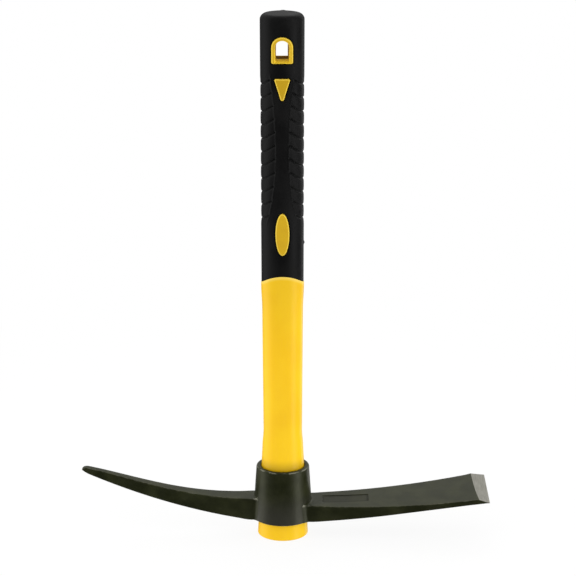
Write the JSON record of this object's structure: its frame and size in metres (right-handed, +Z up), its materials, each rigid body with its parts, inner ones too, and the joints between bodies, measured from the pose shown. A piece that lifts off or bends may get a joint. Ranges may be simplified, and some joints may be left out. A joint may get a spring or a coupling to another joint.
{
  "type": "mattock",
  "caption": "Hand mattock: forged head with a flat blade and a curved pick, on a flared yellow handle with a black moulded grip and a hanging hole.",
  "frame": {"origin": "centre of the handle's foot, on the face the tool stands on", "axes": "+Z up the handle's axis to the top of the grip, +X towards the blade, -X towards the pick, -Y the front"},
  "size_m": [0.2904, 0.0398, 0.38],
  "materials": {
    "head_lacquer": "dark olive-black lacquer on forged steel, bare ground steel at the cutting edge",
    "jacket_plastic": "smooth satin yellow moulded plastic",
    "core_rod": "glass-fibre rod, cut square and matt",
    "grip_rubber": "soft black moulded rubber, matt with a faint sheen",
    "inlay_plastic": "mustard yellow moulded plastic"
  },
  "bodies": {
    "handle": {"handle_jacket": "jacket_plastic", "fibreglass_core": "core_rod", "grip_sleeve": "grip_rubber", "hang_hole_eyelet": "inlay_plastic", "triangle_inlay_front": "inlay_plastic", "triangle_inlay_back": "inlay_plastic", "oval_inlay_front": "inlay_plastic", "oval_inlay_back": "inlay_plastic"},
    "head": {"forged_head": "head_lacquer"}
  },
  "joints": [
    {"name": "head_slide", "type": "slide", "parent": "handle", "child": "head", "axis": [0, 0, 1], "range_m": [0, 0.372]}
  ]
}
